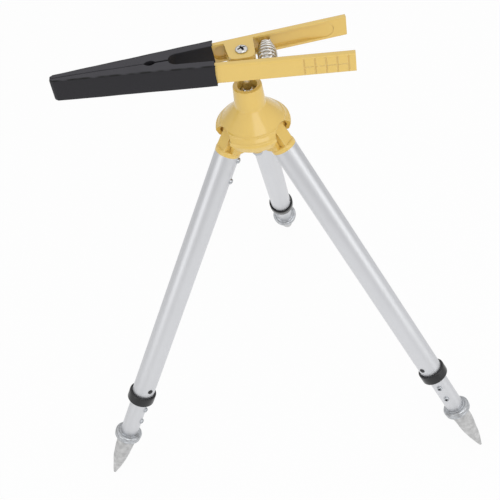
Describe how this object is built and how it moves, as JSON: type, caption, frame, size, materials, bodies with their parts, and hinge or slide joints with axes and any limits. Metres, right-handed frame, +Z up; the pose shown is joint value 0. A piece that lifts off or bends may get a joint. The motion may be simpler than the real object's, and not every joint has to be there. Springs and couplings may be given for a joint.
{
  "type": "clamp tripod",
  "caption": "Small surveying tripod that holds a rod or pole: spring clamp with rubber jaws on a ball joint, coned cast head, folding telescopic legs with spiked feet.",
  "frame": {"origin": "on the ground, under the axis of the head", "axes": "+Z up along the head's axis; +X along the clamp towards its handles, with the jaws at -X"},
  "size_m": [0.3803, 0.3489, 0.4462],
  "materials": {
    "yellow_paint": "smooth semi-gloss enamel on die-cast metal",
    "tube_aluminium": "satin anodised, drawn tube",
    "jaw_rubber": "matte moulded rubber",
    "bush_plastic": "moulded black plastic",
    "nylon": "natural nylon",
    "bright_steel": "nickel-plated steel",
    "plain_steel": "zinc-plated steel",
    "cast_zinc": "tumbled die casting"
  },
  "bodies": {
    "head": {"head_casting": "yellow_paint", "tension_screw": "plain_steel", "disc_springs": "plain_steel", "back_hinge_pin": "plain_steel", "left_hinge_pin": "plain_steel", "right_hinge_pin": "plain_steel"},
    "ball_cup": {"ball_cup": "nylon"},
    "ball_stud": {"ball_stud": "bright_steel", "pivot_screw": "bright_steel"},
    "pivot_bush": {"pivot_bush": "plain_steel", "clamp_spring": "bright_steel"},
    "near_arm": {"near_arm": "yellow_paint", "near_sleeve": "jaw_rubber"},
    "far_arm": {"far_arm": "yellow_paint", "far_sleeve": "jaw_rubber"},
    "back_leg": {"back_leg_plug": "yellow_paint", "back_plug_screws": "plain_steel", "back_outer_tube": "tube_aluminium", "back_guide_bush": "bush_plastic"},
    "back_lock": {"back_lock_expander": "nylon"},
    "back_foot": {"back_lock_stud": "plain_steel", "back_inner_tube": "tube_aluminium", "back_foot_spike": "cast_zinc", "back_foot_screws": "plain_steel"},
    "left_leg": {"left_leg_plug": "yellow_paint", "left_plug_screws": "plain_steel", "left_outer_tube": "tube_aluminium", "left_guide_bush": "bush_plastic"},
    "left_lock": {"left_lock_expander": "nylon"},
    "left_foot": {"left_lock_stud": "plain_steel", "left_inner_tube": "tube_aluminium", "left_foot_spike": "cast_zinc", "left_foot_screws": "plain_steel"},
    "right_leg": {"right_leg_plug": "yellow_paint", "right_plug_screws": "plain_steel", "right_outer_tube": "tube_aluminium", "right_guide_bush": "bush_plastic"},
    "right_lock": {"right_lock_expander": "nylon"},
    "right_foot": {"right_lock_stud": "plain_steel", "right_inner_tube": "tube_aluminium", "right_foot_spike": "cast_zinc", "right_foot_screws": "plain_steel"}
  },
  "joints": [
    {"name": "back_leg_fold", "type": "hinge", "parent": "head", "child": "back_leg", "pos_m": [0.00182, 0.01791, 0.36552], "axis": [-0.9949, 0.1011, 0], "range_deg": [0, 28.9]},
    {"name": "back_leg_extend", "type": "slide", "parent": "back_leg", "child": "back_lock", "axis": [0.0488, 0.4808, -0.8755], "range_m": [0, 0.19]},
    {"name": "back_lock_twist", "type": "hinge", "parent": "back_lock", "child": "back_foot", "pos_m": [0.00182, 0.01791, 0.36552], "axis": [0.0488, 0.4808, -0.8755], "range_deg": [0, 270]},
    {"name": "left_leg_fold", "type": "hinge", "parent": "head", "child": "left_leg", "pos_m": [-0.01642, -0.00738, 0.36552], "axis": [0.4099, -0.9121, 0], "range_deg": [0, 28.9]},
    {"name": "left_leg_extend", "type": "slide", "parent": "left_leg", "child": "left_lock", "axis": [-0.4408, -0.1981, -0.8755], "range_m": [0, 0.19]},
    {"name": "left_lock_twist", "type": "hinge", "parent": "left_lock", "child": "left_foot", "pos_m": [-0.01642, -0.00738, 0.36552], "axis": [-0.4408, -0.1981, -0.8755], "range_deg": [0, 270]},
    {"name": "right_leg_fold", "type": "hinge", "parent": "head", "child": "right_leg", "pos_m": [0.0146, -0.01053, 0.36552], "axis": [0.585, 0.8111, 0], "range_deg": [0, 28.9]},
    {"name": "right_leg_extend", "type": "slide", "parent": "right_leg", "child": "right_lock", "axis": [0.392, -0.2827, -0.8755], "range_m": [0, 0.19]},
    {"name": "right_lock_twist", "type": "hinge", "parent": "right_lock", "child": "right_foot", "pos_m": [0.0146, -0.01053, 0.36552], "axis": [0.392, -0.2827, -0.8755], "range_deg": [0, 270]},
    {"name": "ball_swivel", "type": "hinge", "parent": "head", "child": "ball_cup", "pos_m": [0, 0, 0.39662], "axis": [0, 0, 1], "continuous": true},
    {"name": "ball_tilt", "type": "hinge", "parent": "ball_cup", "child": "ball_stud", "pos_m": [0, 0, 0.39662], "axis": [0, 1, 0], "range_deg": [-18, 18]},
    {"name": "clamp_spin", "type": "hinge", "parent": "ball_stud", "child": "pivot_bush", "pos_m": [0, 0, 0.43372], "axis": [0, 0, 1], "continuous": true},
    {"name": "near_jaw_open", "type": "hinge", "parent": "pivot_bush", "child": "near_arm", "pos_m": [0, 0, 0.43372], "axis": [0, 0, 1], "range_deg": [0, 14], "stiffness_Nm_per_rad": 1.5, "springref_deg": -17.19, "deforming": ["clamp_spring"]},
    {"name": "far_jaw_open", "type": "hinge", "parent": "pivot_bush", "child": "far_arm", "pos_m": [0, 0, 0.43372], "axis": [0, 0, 1], "range_deg": [-14, 0], "stiffness_Nm_per_rad": 1.5, "springref_deg": 17.19, "deforming": ["clamp_spring"]}
  ],
  "couplings": [
    {"joint": "far_jaw_open", "follows": "near_jaw_open", "ratio": -1}
  ]
}
